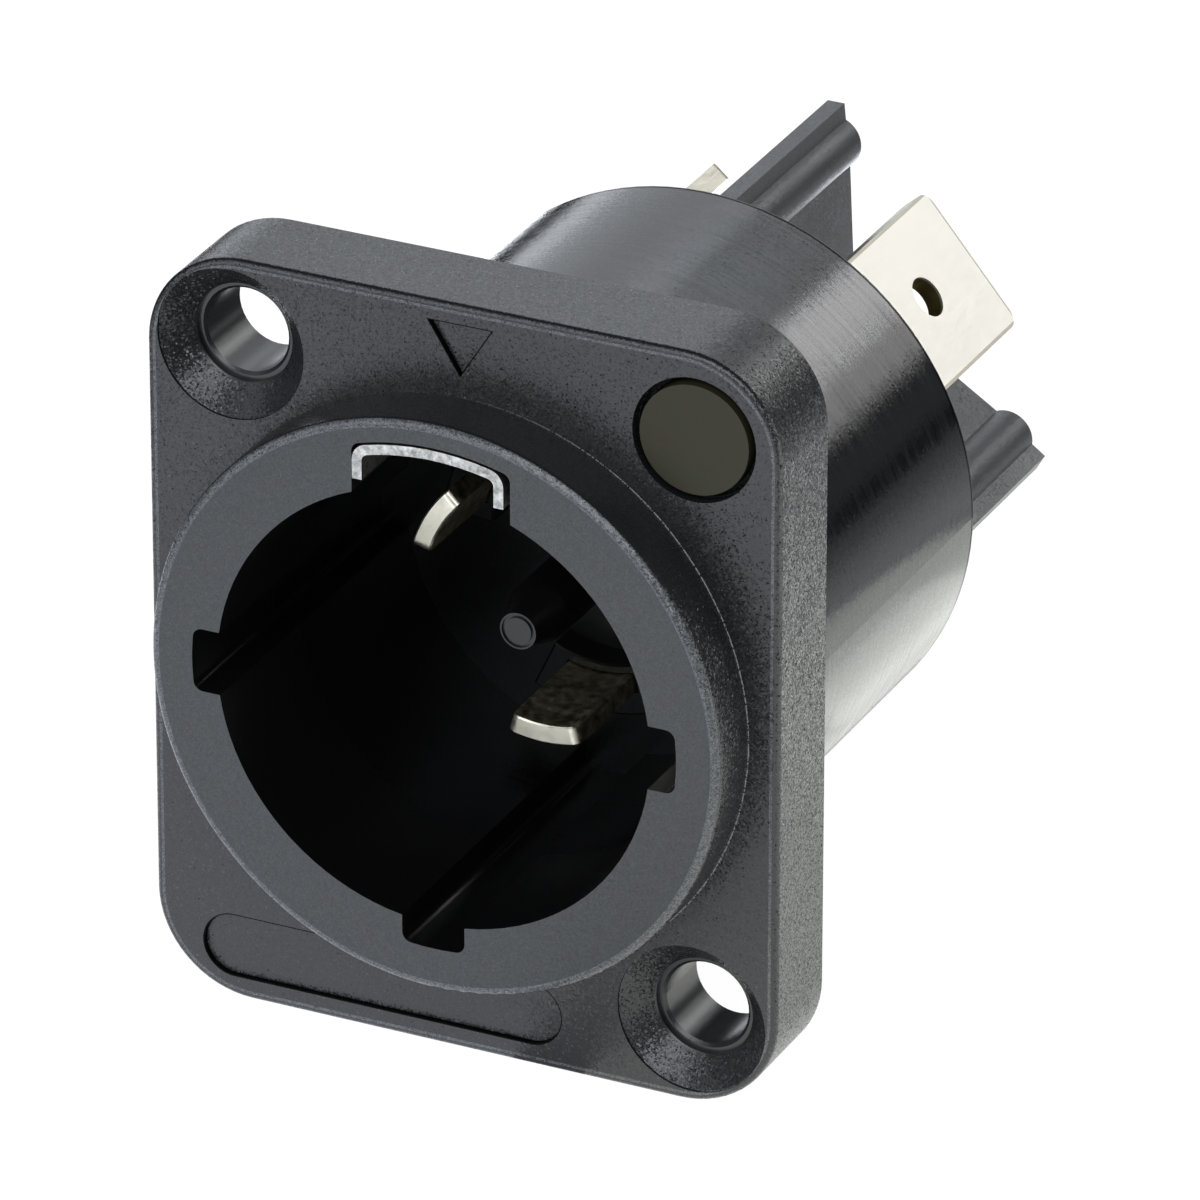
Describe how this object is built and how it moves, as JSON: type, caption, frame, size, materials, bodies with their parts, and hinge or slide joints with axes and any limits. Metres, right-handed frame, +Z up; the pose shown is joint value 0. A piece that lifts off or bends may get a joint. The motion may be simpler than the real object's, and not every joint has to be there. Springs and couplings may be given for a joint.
{
  "type": "chassis power inlet connector",
  "caption": "Panel inlet connector with a square flange, a keyed round socket holding curved blades, a steel latch strip, and flat push-on tabs behind insulating fins.",
  "frame": {"origin": "centre of the flange's rear face, on the socket axis, where the flange sits on the panel", "axes": "+Y runs along the socket axis into the panel, the socket opens towards -Y, +X is to the right seen from the front, +Z is up, with the wide latch keyway at the top"},
  "size_m": [0.026, 0.0359, 0.031],
  "materials": {
    "body_plastic": "moulded, fine spark-eroded grain",
    "carrier_plastic": "moulded, satin",
    "contact_metal": "tin-plated brass, satin",
    "keeper_steel": "stamped spring steel, satin",
    "inlay_plastic": "glossy, dark bronze grey"
  },
  "bodies": {
    "root": {"housing": "body_plastic", "contact_carrier": "carrier_plastic", "contact_line": "contact_metal", "contact_neutral": "contact_metal", "contact_earth": "contact_metal", "latch_keeper": "keeper_steel", "badge": "inlay_plastic"}
  },
  "joints": []
}
